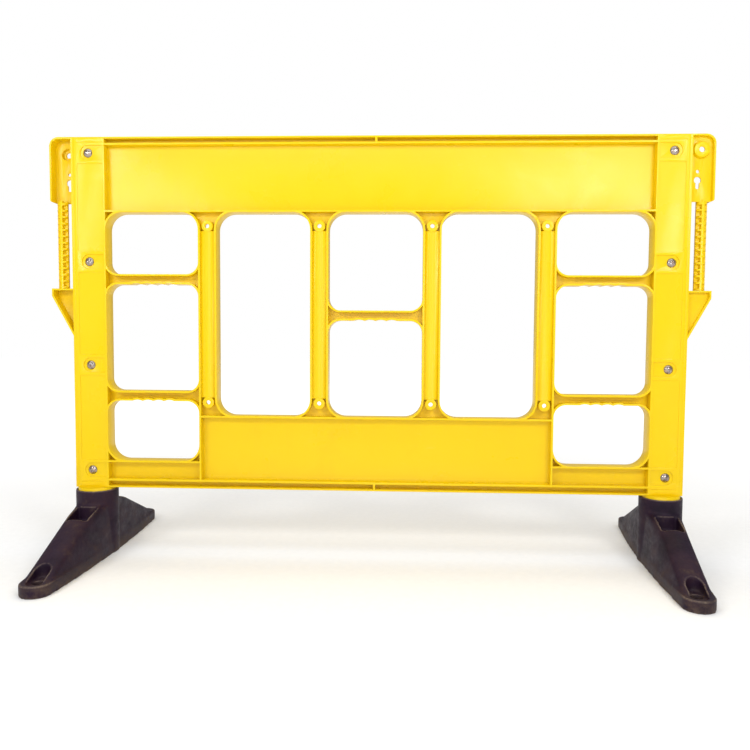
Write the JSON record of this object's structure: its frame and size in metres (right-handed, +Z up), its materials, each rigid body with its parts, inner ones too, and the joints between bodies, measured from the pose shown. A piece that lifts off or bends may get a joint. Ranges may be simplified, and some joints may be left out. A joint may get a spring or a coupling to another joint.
{
  "type": "plastic pedestrian barrier",
  "caption": "Moulded plastic barrier panel with windows, bars and hand grips, end lugs with sockets and ribbed rods, on two swivelling rubber feet.",
  "frame": {"origin": "on the floor, under the middle of the panel", "axes": "+X along the barrier, to the right seen from its face; +Y from its face to its back; +Z up"},
  "size_m": [1.554, 0.648, 1],
  "materials": {
    "panel_plastic": "semi-gloss moulded polypropylene, signal yellow",
    "upright_plastic": "semi-gloss moulded polypropylene, signal yellow",
    "rubber": "dull moulded recycled rubber, dusty",
    "zinc_screw": "bright zinc plate",
    "zinc_hardware": "zinc plate",
    "brass": "machined brass"
  },
  "bodies": {
    "barrier": {"panel": "panel_plastic", "left_upright": "upright_plastic", "right_upright": "upright_plastic", "left_post_screws": "zinc_screw", "left_post_washers": "zinc_hardware", "left_post_nuts": "zinc_hardware", "left_pivot_bolt": "zinc_hardware", "left_pivot_lock_washer": "zinc_hardware", "left_pivot_washer": "zinc_hardware", "left_pivot_sleeve": "zinc_hardware", "left_pivot_insert": "brass", "right_post_screws": "zinc_screw", "right_post_washers": "zinc_hardware", "right_post_nuts": "zinc_hardware", "right_pivot_bolt": "zinc_hardware", "right_pivot_lock_washer": "zinc_hardware", "right_pivot_washer": "zinc_hardware", "right_pivot_sleeve": "zinc_hardware", "right_pivot_insert": "brass"},
    "left_foot": {"left_foot": "rubber"},
    "right_foot": {"right_foot": "rubber"}
  },
  "joints": [
    {"name": "left_foot_swivel", "type": "hinge", "parent": "barrier", "child": "left_foot", "pos_m": [-0.682, 0, 0], "axis": [0, 0, 1], "range_deg": [-90, 90]},
    {"name": "right_foot_swivel", "type": "hinge", "parent": "barrier", "child": "right_foot", "pos_m": [0.682, 0, 0], "axis": [0, 0, 1], "range_deg": [-84.5, 95.5]}
  ]
}
